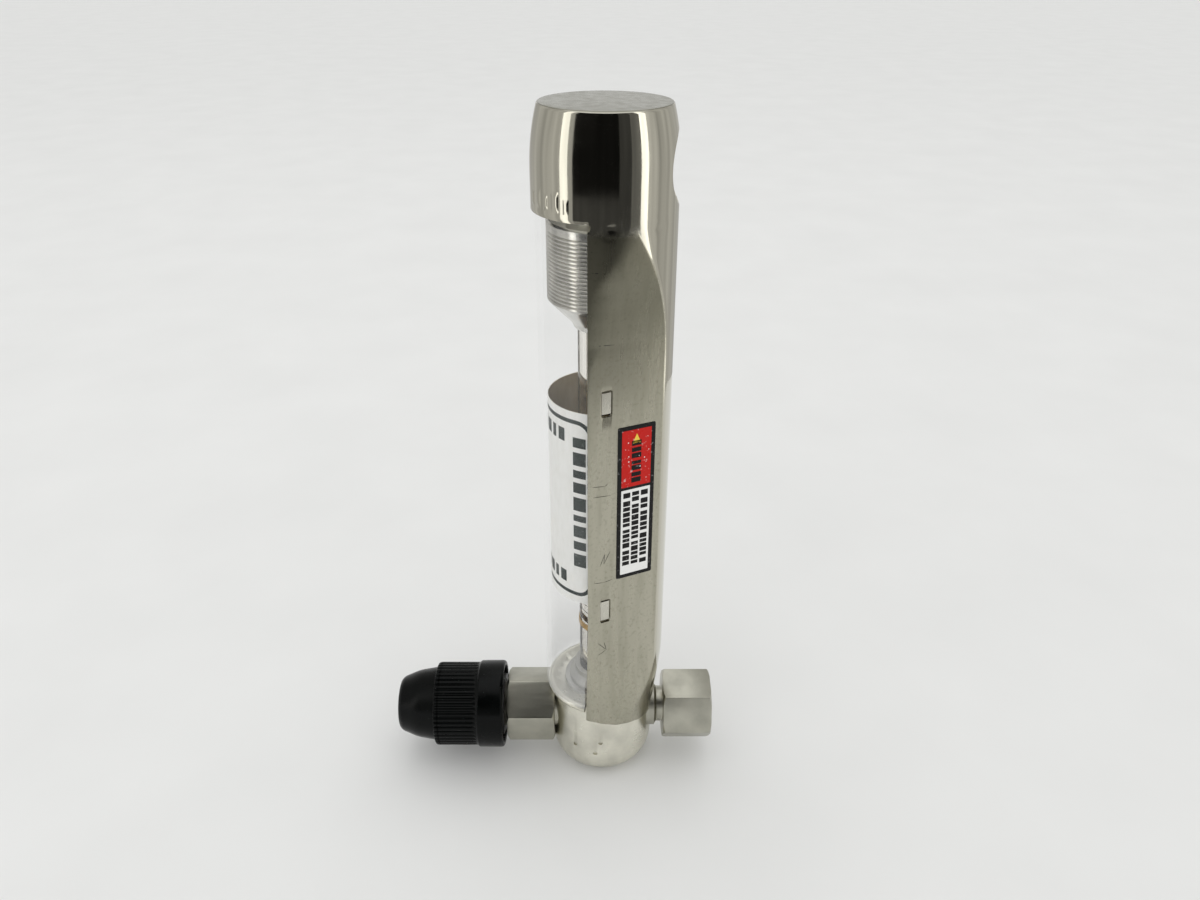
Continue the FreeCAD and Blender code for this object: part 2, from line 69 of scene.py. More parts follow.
def curveAt(points, place):
    # straight runs between the listed points
    if place <= points[0][0]:
        return points[0][1]
    for (startPlace, startValue), (endPlace, endValue) in zip(points, points[1:]):
        if place <= endPlace:
            part = (place - startPlace) / (endPlace - startPlace)
            return startValue + (endValue - startValue) * part
    return points[-1][1]


def softMin(first, second, reach):
    overlap = max(reach - abs(first - second), 0) / reach
    return min(first, second) - overlap * overlap * reach / 4


def polar(radius, degrees, height):
    turn = math.radians(degrees)
    return Vector((radius * math.cos(turn), radius * math.sin(turn), height)) * mm


def meshFrom(name, points, faces):
    mesh = bpy.data.meshes.new(name)
    mesh.from_pydata([tuple(point) for point in points], [], faces)
    mesh.validate()
    return mesh


def faceOutward(mesh):
    work = bmesh.new()
    work.from_mesh(mesh)
    bmesh.ops.remove_doubles(work, verts=work.verts, dist=1e-7)
    bmesh.ops.recalc_face_normals(work, faces=work.faces)
    work.to_mesh(mesh)
    work.free()


def addPiece(name, mesh, body, material):
    piece = bpy.data.objects.new(name, mesh)
    bpy.context.scene.collection.objects.link(piece)
    mesh.materials.clear()
    mesh.materials.append(material)
    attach(piece, body)
    return piece


def settle(piece, sharpDegrees=32):
    # bakes the piece's modifiers into its mesh, then shades it smooth up to its real edges
    graph = bpy.context.evaluated_depsgraph_get()
    mesh = bpy.data.meshes.new_from_object(piece.evaluated_get(graph))
    piece.modifiers.clear()
    piece.data = mesh
    for face in mesh.polygons:
        face.use_smooth = True
        face.material_index = 0
    mesh.set_sharp_from_angle(angle=math.radians(sharpDegrees))


def bevelEdges(piece, width, degrees):
    bevel = piece.modifiers.new("edgeRounding", "BEVEL")
    bevel.width = width * mm
    bevel.segments = 2
    bevel.limit_method = "ANGLE"
    bevel.angle_limit = math.radians(degrees)
    bevel.harden_normals = False
    bevel.use_clamp_overlap = True


def cutWith(piece, cutterMesh):
    cutter = bpy.data.objects.new("cutter", cutterMesh)
    bpy.context.scene.collection.objects.link(cutter)
    cut = piece.modifiers.new("cut", "BOOLEAN")
    cut.operation = "DIFFERENCE"
    cut.solver = "EXACT"
    cut.object = cutter
    graph = bpy.context.evaluated_depsgraph_get()
    mesh = bpy.data.meshes.new_from_object(piece.evaluated_get(graph))
    piece.modifiers.clear()
    piece.data = mesh
    bpy.data.objects.remove(cutter)


def rodMesh(radius, start, end, segments=48):
    # a rod from one point to another, as a boolean cutter
    way = end - start
    work = bmesh.new()
    bmesh.ops.create_cone(work, cap_ends=True, segments=segments, radius1=radius * mm,
                          radius2=radius * mm, depth=way.length * mm)
    turn = Vector((0, 0, 1)).rotation_difference(way).to_matrix().to_4x4()
    work.transform(Matrix.Translation((start + end) * 0.5 * mm) @ turn)
    mesh = bpy.data.meshes.new("rod")
    work.to_mesh(mesh)
    work.free()
    return mesh


# turned pieces: a profile of (radius, place) points carried round an axis

def turnedMesh(name, profile, steps=96, along="z", height=0.0, shape=None):
    points, faces = [], []
    rows = len(profile)
    for step in range(steps):
        turn = 2 * math.pi * step / steps
        for row, (radius, place) in enumerate(profile):
            reach = shape(radius, place, turn) if shape else radius
            if along == "z":
                point = (reach * math.cos(turn), reach * math.sin(turn), place)
            else:
                point = (reach * math.cos(turn), place, height + reach * math.sin(turn))
            points.append(Vector(point) * mm)
    for step in range(steps):
        following = (step + 1) % steps
        for row in range(rows - 1):
            faces.append((step * rows + row, following * rows + row,
                          following * rows + row + 1, step * rows + row + 1))
    mesh = meshFrom(name, points, faces)
    faceOutward(mesh)
    return mesh


def roundedCorners(corners, radius, steps=4):
    # a profile whose inner corners are rounded by the same small radius
    profile = [corners[0]]
    for before, corner, after in zip(corners, corners[1:], corners[2:]):
        here = Vector(corner)
        inward = Vector(before) - here
        outward = Vector(after) - here
        reach = min(radius, inward.length * 0.45, outward.length * 0.45)
        first = here + inward.normalized() * reach
        last = here + outward.normalized() * reach
        for step in range(steps + 1):
            part = step / steps
            profile.append(tuple(first * (1 - part) ** 2 + here * 2 * part * (1 - part)
                                 + last * part ** 2))
    profile.append(corners[-1])
    return profile


# node tools for the materials

class Finish:
    def __init__(self, name, color, metallic=0.0, roughness=0.5):
        self.material = bpy.data.materials.new(name)
        self.material.use_nodes = True
        self.tree = self.material.node_tree
        self.skin = self.tree.nodes["Principled BSDF"]
        self.skin.inputs["Base Color"].default_value = (*color, 1)
        self.skin.inputs["Metallic"].default_value = metallic
        self.skin.inputs["Roughness"].default_value = roughness
        self.coords = self.add("ShaderNodeTexCoord").outputs["Object"]

    def add(self, kind, **facts):
        node = self.tree.nodes.new(kind)
        for key, value in facts.items():
            setattr(node, key, value)
        return node

    def join(self, source, target):
        self.tree.links.new(source, target)

    def noise(self, scale, detail=3.0, stretch=(1, 1, 1)):
        mapping = self.add("ShaderNodeMapping")
        mapping.inputs["Scale"].default_value = stretch
        self.join(self.coords, mapping.inputs["Vector"])
        node = self.add("ShaderNodeTexNoise")
        node.inputs["Scale"].default_value = scale
        node.inputs["Detail"].default_value = detail
        self.join(mapping.outputs["Vector"], node.inputs["Vector"])
        return node.outputs["Fac"]

    def cells(self, scale):
        node = self.add("ShaderNodeTexVoronoi")
        node.inputs["Scale"].default_value = scale
        self.join(self.coords, node.inputs["Vector"])
        return node.outputs["Distance"]

    def ramp(self, source, low, high, outLow=0.0, outHigh=1.0, eased=False):
        node = self.add("ShaderNodeMapRange")
        if eased:
            node.interpolation_type = "SMOOTHSTEP"
        for socket, value in zip(("From Min", "From Max", "To Min", "To Max"),
                                 (low, high, outLow, outHigh)):
            node.inputs[socket].default_value = value
        self.join(source, node.inputs["Value"])
        return node.outputs["Result"]

    def maths(self, operation, first, second):
        node = self.add("ShaderNodeMath", operation=operation)
        for socket, value in zip(node.inputs, (first, second)):
            if isinstance(value, (int, float)):
                socket.default_value = value
            else:
                self.join(value, socket)
        return node.outputs["Value"]

    def place(self, axis):
        node = self.add("ShaderNodeSeparateXYZ")
        self.join(self.coords, node.inputs["Vector"])
        return node.outputs[axis]

    def blend(self, factor, first, second):
        # a colour between two, each a colour or another blend
        node = self.add("ShaderNodeMix", data_type="RGBA")
        self.join(factor, node.inputs["Factor"])
        for socket, value in zip((node.inputs[6], node.inputs[7]), (first, second)):
            if isinstance(value, tuple):
                socket.default_value = (*value, 1)
            else:
                self.join(value, socket)
        return node.outputs[2]

    def paint(self, socket, source):
        self.join(source, self.skin.inputs[socket])

    def bump(self, source, depth):
        node = self.add("ShaderNodeBump")
        node.inputs["Distance"].default_value = depth * mm
        self.join(source, node.inputs["Height"])
        previous = self.skin.inputs["Normal"].links
        if previous:
            self.join(previous[0].from_socket, node.inputs["Normal"])
        self.join(node.outputs["Normal"], self.skin.inputs["Normal"])


# finishes

coverFinish = {
    "panelAngle": 24.4,
    # places in a material are in metres: each pair is where a change starts and ends
    "creaseRunsIn": (0.116, 0.143),
    "creaseWidens": 0.009,
    "creaseEdge": (0.0082, 0.0088),
    "roundEnds": (0.150, 0.155),
    "polishStarts": (0.1412, 0.1432),
    "topStarts": (0.16385, 0.16395),
    # where the painted shade on the side panels rises, darkest at the top
    "paintedShadeRises": (0.098, 0.128),
    "dullSatin": (0.43, 0.415, 0.335),
    "brightSatin": (0.50, 0.48, 0.395),
    "grime": (0.32, 0.31, 0.24),
    "fineGrime": (0.26, 0.25, 0.19),
    # colour of the painted shade on the upper side panels
    "paintedShade": (0.13, 0.125, 0.09),
    "pit": (0.09, 0.08, 0.06),
    "polish": (0.60, 0.58, 0.50),
}


def roundSide(steel, height):
    # 1 on the round back of the cover beyond the pressed panels' creases, 0 on the panels
    turn = math.radians(coverFinish["panelAngle"])
    sideways = steel.maths("ABSOLUTE", steel.place("X"), 0.0)
    along = steel.maths("SUBTRACT", steel.maths("MULTIPLY", steel.place("Y"), math.cos(turn)),
                        steel.maths("MULTIPLY", sideways, math.sin(turn)))
    lift = steel.ramp(height, *coverFinish["creaseRunsIn"])
    widened = steel.maths("ADD", along, steel.maths("MULTIPLY", steel.maths("MULTIPLY", lift, lift),
                                                    coverFinish["creaseWidens"]))
    beyond = steel.ramp(widened, *coverFinish["creaseEdge"], eased=True)
    return steel.maths("MULTIPLY", beyond,
                       steel.ramp(height, *coverFinish["roundEnds"], 1.0, 0.0))


def polishedSteel():
    # mirror polish on the cap, satin with handling marks on the sides below it, and painted shade
    # darkening the upper part of the sides
    steel = Finish("polishedSteel", (0.60, 0.59, 0.55), 1.0, 0.2)
    height = steel.place("Z")
    unevenEdge = steel.ramp(steel.noise(400, 2), 0.3, 0.7, -0.0006, 0.0006)
    polish = steel.ramp(steel.maths("ADD", height, unevenEdge), *coverFinish["polishStarts"],
                        eased=True)
    flatTop = steel.ramp(height, *coverFinish["topStarts"])
    polish = steel.maths("MULTIPLY", polish, steel.maths("SUBTRACT", 1.0, flatTop))

    grain = steel.noise(1700, 4, (1, 1, 0.3))
    brushed = steel.noise(520, 4, (1, 1, 0.12))
    cloud = steel.noise(55, 3, (1, 1, 0.3))
    satin = steel.ramp(steel.maths("ADD", brushed, cloud), 0.7, 1.3, 0.22, 0.36)
    mirror = steel.ramp(steel.noise(260, 3), 0.3, 0.75, 0.05, 0.11)
    mixRough = steel.add("ShaderNodeMix", data_type="FLOAT")
    rounded = steel.maths("MAXIMUM", polish, roundSide(steel, height))
    steel.join(rounded, mixRough.inputs["Factor"])
    steel.join(satin, mixRough.inputs[2])
    steel.join(mirror, mixRough.inputs[3])
    steel.paint("Roughness", mixRough.outputs[0])

    satinColor = steel.blend(steel.ramp(cloud, 0.35, 0.65), coverFinish["dullSatin"],
                             coverFinish["brightSatin"])
    satinColor = steel.blend(steel.ramp(brushed, 0.45, 0.75, 0.0, 0.4), satinColor,
                             coverFinish["grime"])
    satinColor = steel.blend(steel.ramp(steel.noise(1300, 3), 0.54, 0.72, 0.0, 0.42), satinColor,
                             coverFinish["fineGrime"])
    # painted shade: the satin colour darkens upward from about 98 to 128 mm, a painted stand-in for
    # the dark reflection under the cap
    paintedShade = steel.ramp(steel.maths("ADD", height, steel.ramp(cloud, 0, 1, -0.008, 0.008)),
                       *coverFinish["paintedShadeRises"], 0.0, 0.74, eased=True)
    satinColor = steel.blend(paintedShade, satinColor, coverFinish["paintedShade"])
    pits = steel.ramp(steel.cells(420), 0.035, 0.07, 1.0, 0.0)
    pits = steel.maths("MULTIPLY", pits, steel.ramp(steel.noise(90, 1), 0.61, 0.67))
    satinColor = steel.blend(steel.maths("MULTIPLY", pits, 0.8), satinColor, coverFinish["pit"])
    color = steel.blend(rounded, satinColor, coverFinish["polish"])
    steel.paint("Base Color", color)

    satinOnly = steel.maths("SUBTRACT", 1.0, rounded)
    steel.bump(steel.maths("MULTIPLY", grain, satinOnly), 0.012)
    steel.bump(steel.maths("MULTIPLY", brushed, satinOnly), 0.015)
    steel.bump(steel.noise(95, 2), 0.012)
    return steel.material


def satinSteel(name, stretch, tint, rough):
    # turned or milled stainless, its grain drawn out by the stretch
    steel = Finish(name, tint, 1.0, 0.3)
    grain = steel.noise(1900, 4, stretch)
    mottle = steel.noise(170, 4)
    dull = tuple(channel * 0.78 for channel in tint)
    color = steel.blend(steel.ramp(mottle, 0.35, 0.7), tint, dull)
    pits = steel.ramp(steel.cells(330), 0.04, 0.08, 1.0, 0.0)
    pits = steel.maths("MULTIPLY", pits, steel.ramp(steel.noise(70, 1), 0.6, 0.66))
    color = steel.blend(steel.maths("MULTIPLY", pits, 0.7), color, (0.12, 0.11, 0.09))
    steel.paint("Base Color", color)
    steel.paint("Roughness", steel.ramp(steel.maths("ADD", grain, mottle), 0.7, 1.3, *rough))
    steel.bump(grain, 0.012)
    steel.bump(steel.noise(140, 2), 0.02)
    return steel.material


def machinedAluminium(name, bright, rough):
    # fine turning rings across the axis
    warm = (bright, bright * 0.985, bright * 0.93)
    metal = Finish(name, warm, 1.0, 0.25)
    rings = metal.noise(1500, 3, (0.04, 0.04, 1.6))
    metal.paint("Base Color", metal.blend(metal.ramp(metal.noise(240, 3), 0.35, 0.7),
                                          warm, tuple(channel * 0.8 for channel in warm)))
    metal.paint("Roughness", metal.ramp(rings, 0.3, 0.7, *rough))
    metal.bump(rings, 0.003)
    return metal.material


def blackPlastic():
    plastic = Finish("blackPlastic", (0.0008, 0.0012, 0.0012), 0.0, 0.3)
    skin = plastic.noise(2600, 3)
    haze = plastic.noise(150, 4)
    dust = plastic.ramp(plastic.cells(900), 0.03, 0.06, 1.0, 0.0)
    dust = plastic.maths("MULTIPLY", dust, plastic.ramp(plastic.noise(220, 1), 0.56, 0.62))
    color = plastic.blend(plastic.ramp(haze, 0.4, 0.75), (0.0006, 0.0011, 0.0010),
                          (0.0016, 0.0024, 0.0023))
    plastic.paint("Base Color", plastic.blend(plastic.maths("MULTIPLY", dust, 0.6), color,
                                              (0.25, 0.25, 0.24)))
    plastic.paint("Roughness", plastic.ramp(haze, 0.3, 0.7, 0.18, 0.34))
    plastic.skin.inputs["Specular IOR Level"].default_value = 0.13
    plastic.bump(skin, 0.006)
    plastic.bump(haze, 0.02)
    return plastic.material


def clearGlass(name, tint, rough):
    glass = Finish(name, tint, 0.0, 0.02)
    glass.skin.inputs["Transmission Weight"].default_value = 1.0
    glass.skin.inputs["IOR"].default_value = 1.47
    smear = glass.noise(120, 3, (1, 1, 0.3))
    glass.paint("Roughness", glass.ramp(smear, 0.45, 0.75, *rough))
    glass.bump(glass.noise(60, 2), 0.01)
    return glass.material


def clearPlastic():
    # thin, very clear gutter: mostly see-through, with a film of fingermarks, and less see-through
    # towards the bottom
    plastic = Finish("clearPlastic", (0.94, 0.95, 0.95), 0.0, 0.06)
    smear = plastic.noise(90, 4, (1, 1, 0.35))
    lessClearLow = plastic.ramp(plastic.place("Z"), 0.024, 0.052, 0.14, 0.0, eased=True)
    plastic.paint("Alpha", plastic.maths("ADD", lessClearLow,
                                         plastic.ramp(smear, 0.35, 0.75, 0.015, 0.055)))
    plastic.paint("Roughness", plastic.ramp(smear, 0.4, 0.7, 0.04, 0.14))
    plastic.skin.inputs["IOR"].default_value = 1.49
    plastic.bump(plastic.noise(45, 2), 0.02)
    return plastic.material


def tagCard():
    # uncoated white card, its inner face painted brown as the warm shade inside the roll
    card = Finish("tagCard", (0.86, 0.86, 0.83), 0.0, 0.7)
    across = card.add("ShaderNodeVectorMath", operation="LENGTH")
    flat = card.add("ShaderNodeVectorMath", operation="MULTIPLY")
    flat.inputs[1].default_value = (1, 1, 0)
    card.join(card.coords, flat.inputs[0])
    card.join(flat.outputs["Vector"], across.inputs[0])
    inside = card.ramp(across.outputs["Value"], 0.01214, 0.01219, 1.0, 0.0)
    fibre = card.noise(900, 4, (1, 1, 0.4))
    white = card.blend(card.ramp(fibre, 0.3, 0.7), (0.94, 0.94, 0.92), (0.87, 0.87, 0.84))
    # painted shade: the inner face is coloured brown for the warm, dim light inside the roll
    paintedInnerShade = card.blend(card.ramp(fibre, 0.3, 0.7), (0.72, 0.60, 0.42), (0.80, 0.69, 0.51))
    card.paint("Base Color", card.blend(inside, white, paintedInnerShade))
    card.skin.inputs["Transmission Weight"].default_value = 0.16
    card.bump(fibre, 0.02)
    return card.material


def printedInk(name, color, wornColor, rough=0.45):
    ink = Finish(name, color, 0.0, rough)
    wear = ink.ramp(ink.noise(1400, 4), 0.62, 0.72)
    ink.paint("Base Color", ink.blend(ink.maths("MULTIPLY", wear, 0.5), color, wornColor))
    ink.paint("Roughness", ink.ramp(ink.noise(500, 2), 0.3, 0.7, rough * 0.8, rough * 1.2))
    ink.skin.inputs["Specular IOR Level"].default_value = 0.2
    ink.bump(ink.noise(1200, 3), 0.008)
    return ink.material


def softSolid(name, color, rough, depth=0.01):
    solid = Finish(name, color, 0.0, rough)
    fleck = solid.noise(900, 3)
    darker = tuple(channel * 0.82 for channel in color)
    solid.paint("Base Color", solid.blend(solid.ramp(fleck, 0.35, 0.7), color, darker))
    solid.bump(fleck, depth)
    return solid.material


finishes = {
    "polished": polishedSteel(),
    "base": satinSteel("turnedSteel", (0.25, 0.25, 1.2), (0.82, 0.80, 0.70), (0.26, 0.38)),
    "hex": satinSteel("brushedHexSteel", (1.0, 0.06, 1.0), (0.50, 0.49, 0.42), (0.28, 0.4)),
    "plate": satinSteel("plateSteel", (1, 1, 0.1), (0.68, 0.66, 0.58), (0.22, 0.34)),
    "ground": satinSteel("groundSteel", (0.2, 0.2, 1.4), (0.34, 0.34, 0.34), (0.18, 0.3)),
    "aluminium": machinedAluminium("machinedAluminium", 0.72, (0.14, 0.24)),
    "seat": machinedAluminium("bluntAluminium", 0.5, (0.34, 0.46)),
    "brass": satinSteel("machinedBrass", (1, 1, 1), (0.70, 0.52, 0.24), (0.22, 0.34)),
    # near-black steel: the scratch lines on the panel, and painted shade on the packing nut
    "dark": satinSteel("scratchMarksAndGapShade", (1, 1, 1), (0.05, 0.05, 0.05), (0.3, 0.45)),
    "plastic": blackPlastic(),
    "tube": clearGlass("tubeGlass", (0.97, 0.94, 0.88), (0.0, 0.03)),
    "shield": clearPlastic(),
    "card": tagCard(),
    "ptfe": softSolid("whitePtfe", (0.86, 0.85, 0.82), 0.5),
    "rubber": softSolid("sealRubber", (0.02, 0.02, 0.02), 0.6),
    "tagInk": printedInk("tagInk", (0.018, 0.028, 0.025), (0.3, 0.32, 0.3)),
    "black": printedInk("labelBlack", (0.006, 0.006, 0.006), (0.3, 0.3, 0.3), 0.3),
    "red": printedInk("labelRed", (0.55, 0.012, 0.008), (0.85, 0.75, 0.72), 0.3),
    "white": printedInk("labelWhite", (0.86, 0.86, 0.84), (0.7, 0.7, 0.68), 0.35),
    "yellow": printedInk("labelYellow", (0.85, 0.62, 0.08), (0.9, 0.85, 0.6), 0.35),
    "amber": softSolid("amberBand", (0.46, 0.29, 0.10), 0.35),
}
print("finishes made:", len(finishes))


# housing: one drawn cover with a round cap, pressed flat sides and an open front

housing = {
    "wall": 0.6,
    "top": 164.0,
    "rim": 143.9,
    "sideRadius": 14.79,
    "topRadius": 13.15,
    "footRadius": 13.06,
    "footRise": (16.0, 37.0),
    "bulgeStart": 151.0,
    "bulgePower": 2.2,
    "panelAngle": 24.4,
    "panelDepth": [(18, 13.7), (23, 13.4), (28, 12.9), (33, 12.2), (37, 11.85), (41, 11.75),
                   (114, 11.75), (119, 11.9), (123, 12.25), (127, 12.75), (130, 13.25),
                   (133, 13.85), (136, 14.3), (139, 14.6), (143, 14.9), (148, 15.4)],
    "crease": 0.24,
    "softCrease": 1.5,
    "windowEdge": [(22, 3.95), (50, 3.42), (144, 3.4)],
    "seamFront": 19.2,
    "seamSlope": -0.2,
    "columns": 288,
    "frontColumns": 96,
    "slotAlong": (-6.0, -3.45),
    "slotHeights": ((50.2, 56.6), (103.3, 109.3)),
    "outletRadius": 7.43,
    "outletHeight": 152.0,
    "notchRadius": 0.8,
    "notchAside": -3.6,
    "notchDrop": 0.6,
    "inletRadius": 6.0,
    "inletHeight": 14.0,
    # both holes in the back are cut from here to here along Y
    "holeFrom": 2,
    "holeTo": 20,
    "edgeRounding": 0.14,
    "pucker": 0.07,
    "puckerAside": 22,
    "puckerHeight": 142.6,
}


def roundRadius(height):
    low, high = housing["footRise"]
    if height < high:
        grown = smooth((height - low) / (high - low))
        return housing["footRadius"] + (housing["sideRadius"] - housing["footRadius"]) * grown
    if height > housing["bulgeStart"]:
        part = (height - housing["bulgeStart"]) / (housing["top"] - housing["bulgeStart"])
        drop = housing["sideRadius"] - housing["topRadius"]
        return housing["sideRadius"] - drop * part ** housing["bulgePower"]
    return housing["sideRadius"]


def housingRadius(degrees, height):
    radius = roundRadius(height)
    depth = curveAt(housing["panelDepth"], height)
    for panel in (housing["panelAngle"], 180 - housing["panelAngle"]):
        lean = math.cos(math.radians(degrees - panel))
        if lean > 0.3:
            # the panel runs softly into the round towards the window
            beside = degrees - panel if panel < 90 else panel - degrees
            soft = smooth(-beside / 14) * smooth((height - 112) / 8) * smooth((138 - height) / 8)
            crease = housing["crease"] + (housing["softCrease"] - housing["crease"]) * soft
            radius = softMin(radius, depth / lean, crease)
            radius -= puckers(degrees - panel, height)
    return radius


def puckers(turn, height):
    # small wrinkles left by the press where the panel runs out under the cap
    beside = math.exp(-((abs(turn) - housing["puckerAside"]) / 7) ** 2)
    under = math.exp(-((height - housing["puckerHeight"]) / 1.5) ** 2)
    return housing["pucker"] * beside * under * (1 + math.sin(height * 4.4 + turn * 0.25))


def windowAngle(height):
    edge = curveAt(housing["windowEdge"], height)
    angle = -14.0
    for attempt in range(4):
        angle = -math.degrees(math.asin(edge / housingRadius(angle, height)))
    return angle


def skirtHeights():
    heights = [20 + step for step in range(24)]
    heights += [44 + step * 3.5 for step in range(20)]
    heights += [114 + step * 0.6 for step in range(50)]
    return heights[:-1] + [housing["rim"]] if heights[-1] < housing["rim"] else heights


def housingOutside():
    columns, front = housing["columns"], housing["frontColumns"]
    points, faces = [], []
    heights = skirtHeights()
    for height in heights:
        for column in range(columns + 1):
            angle = 0
            level = height
            for attempt in range(3):
                start = windowAngle(level)
                angle = start + (180 - 2 * start) * column / columns
                depth = housingRadius(angle, level) * math.sin(math.radians(angle))
                seam = housing["seamFront"] + housing["seamSlope"] * depth
                seam += 0.12 * math.sin(angle * 0.31) * math.sin(angle * 0.117)
                level = height + (seam - heights[0]) * (1 - smooth((height - 20) / 14))
            points.append(polar(housingRadius(angle, level), angle, level))
    width = columns + 1
    for row in range(len(heights) - 1):
        for column in range(columns):
            corner = row * width + column
            faces.append((corner, corner + 1, corner + width + 1, corner + width))

    start = windowAngle(housing["rim"])
    capAngles = [start + (180 - 2 * start) * column / columns for column in range(columns + 1)]
    gap = 360 - (180 - 2 * start)
    capAngles += [180 - start + gap * step / front for step in range(1, front)]
    capLevels = [(housing["rim"] + step * 0.75, None) for step in range(1, 27)]
    corner = 0.3
    capLevels = [level for level in capLevels if level[0] < housing["top"] - corner]
    capLevels.append((housing["top"] - corner, None))
    for step in range(1, 5):
        bend = math.radians(22.5 * step)
        capLevels.append((housing["top"] - corner + corner * math.sin(bend),
                          housing["topRadius"] - corner * (1 - math.cos(bend))))
    capLevels += [(housing["top"], radius) for radius in (12.0, 9.0, 5.0, 1.5)]

    previous = list(range((len(heights) - 1) * width, len(heights) * width))
    for angle in capAngles[width:]:
        previous.append(len(points))
        points.append(polar(housingRadius(angle, housing["rim"]), angle, housing["rim"]))
    for height, radius in capLevels:
        current = []
        for angle in capAngles:
            current.append(len(points))
            reach = housingRadius(angle, height) if radius is None else radius
            points.append(polar(reach, angle, height))
        for step in range(len(current)):
            following = (step + 1) % len(current)
            faces.append((previous[step], previous[following],
                          current[following], current[step]))
        previous = current
    faces.append(tuple(previous))
    return meshFrom("housing", points, faces)


def slotCutter(side, low, high):
    # a slot cut square to the side panel, its corners rounded
    near, far = housing["slotAlong"]
    work = bmesh.new()
    bmesh.ops.create_cube(work, size=1)
    bmesh.ops.scale(work, vec=Vector((4, far - near, high - low)) * mm, verts=work.verts)
    upright = [edge for edge in work.edges
               if abs(edge.verts[0].co.x - edge.verts[1].co.x) > mm]
    bmesh.ops.bevel(work, geom=upright, offset=0.45 * mm, segments=4, affect="EDGES", profile=0.5)
    turn = math.radians(housing["panelAngle"])
    outward = Vector((math.cos(turn), math.sin(turn), 0))
    rearward = Vector((-math.sin(turn), math.cos(turn), 0))
    centre = outward * 11.7 + rearward * (near + far) / 2 + Vector((0, 0, (low + high) / 2))
    work.transform(Matrix.Translation(centre * mm) @ Matrix.Rotation(turn, 4, "Z"))
    if side < 0:
        work.transform(Matrix.Scale(-1, 4, Vector((1, 0, 0))))
        bmesh.ops.reverse_faces(work, faces=work.faces)
    mesh = bpy.data.meshes.new("slot")
    work.to_mesh(mesh)
    work.free()
    return mesh


def makeHousing():
    piece = addPiece("housing_cover", housingOutside(), "frame",
                     finishes["polished"])
    faceOutward(piece.data)
    wall = piece.modifiers.new("wall", "SOLIDIFY")
    wall.thickness = housing["wall"] * mm
    wall.offset = -1
    wall.use_even_offset = True
    settle(piece)
    near, far = housing["holeFrom"], housing["holeTo"]
    for radius, height, segments in ((housing["outletRadius"], housing["outletHeight"], 72),
                                     (housing["inletRadius"], housing["inletHeight"], 64)):
        cutWith(piece, rodMesh(radius, Vector((0, near, height)), Vector((0, far, height)),
                               segments))
    aside, notchPlace = housing["notchAside"], housing["rim"] - housing["notchDrop"]
    cutWith(piece, rodMesh(housing["notchRadius"], Vector((-far, aside, notchPlace)),
                           Vector((far, aside, notchPlace)), 32))
    for side in (1, -1):
        for low, high in housing["slotHeights"]:
            cutWith(piece, slotCutter(side, low, high))
    bevelEdges(piece, housing["edgeRounding"], 50)
    settle(piece)
    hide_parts("housing_shell")


makeHousing()


# plain raised bars pressed into the cap

capBars = {
    "firstAngle": -73.0,
    "gap": 3.4,
    "low": 145.3,
    "raised": 0.16,
    # width in degrees, height
    "bars": [(6.0, 3.2), (7.5, 4.2), (5.0, 3.4), (8.0, 4.2), (5.5, 3.0)],
    "steps": 10,
}


def makeCapBars():
    points, faces = [], []
    steps = capBars["steps"]
    start = capBars["firstAngle"]
    for wide, tall in capBars["bars"]:
        first = len(points)
        for row in range(steps + 1):
            height = capBars["low"] + tall * row / steps
            for column in range(steps + 1):
                angle = start + wide * column / steps
                inward = min(row, steps - row, column, steps - column)
                lift = capBars["raised"] * smooth(inward / 3)
                points.append(polar(housingRadius(angle, height) - 0.01 + lift, angle, height))
        for row in range(steps):
            for column in range(steps):
                corner = first + row * (steps + 1) + column
                faces.append((corner, corner + 1, corner + steps + 2, corner + steps + 1))
        start += wide + capBars["gap"]
    piece = addPiece("cap_bars", meshFrom("capBars", points, faces), "frame",
                     finishes["polished"])
    settle(piece, 80)


makeCapBars()
print("housing made")


# machined pieces keep the shape of their solid and get broken edges

def machined(name, node, material, width, cutters=()):
    source = frame["nodes"][node]
    mesh = source.data.copy()
    work = bmesh.new()
    work.from_mesh(mesh)
    bmesh.ops.remove_doubles(work, verts=work.verts, dist=2e-6)
    bmesh.ops.dissolve_limit(work, angle_limit=math.radians(0.4), verts=work.verts,
                             edges=work.edges)
    work.to_mesh(mesh)
    work.free()
    body = source["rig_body"]
    piece = addPiece(name, mesh, body, material)
    for cutter in cutters:
        cutWith(piece, cutter)
    bevelEdges(piece, width, 30)
    settle(piece)
    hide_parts(node)


punchMarks = [(10.4, -6.7, 10.0), (12.4, -0.4, 12.1), (12.3, -1.7, 8.6)]
punchRadius = 0.52


def punchCutters():
    # shallow dots beside the foot of the base
    meshes = []
    for place in punchMarks:
        dot = Vector(place)
        outward = Vector((dot.x, dot.y, 0)).normalized()
        meshes.append(rodMesh(punchRadius, dot - outward * 0.3, dot + outward * 1.5, 24))
    return meshes


def turnedCutter(radius, height, size):
    # a ring of round section that turns a groove
    section = [(radius + size * math.cos(math.radians(45 * step)),
                height + size * math.sin(math.radians(45 * step))) for step in range(9)]
    return turnedMesh("groove", section, 144)


# radius, height and size of the grooves in and under the bead
beadGrooves = [(13.71, 23.48, 0.2), (12.75, 21.95, 0.35)]
baseCutters = punchCutters() + [turnedCutter(*groove) for groove in beadGrooves]
machined("base_turned", "base_block", finishes["base"], 0.12, cutters=baseCutters)
machined("valve_hex", "valve_body", finishes["hex"], 0.18)
machined("inlet_hex", "inlet_fitting", finishes["hex"], 0.18)
# painted shade: the packing nut gets the near-black finish so the gap between knob and hex reads
# dark
machined("nut_hex", "packing_nut", finishes["dark"], 0.12)
print("machined pieces made")


# knob: hollow skirt, ribbed grip and smooth nose

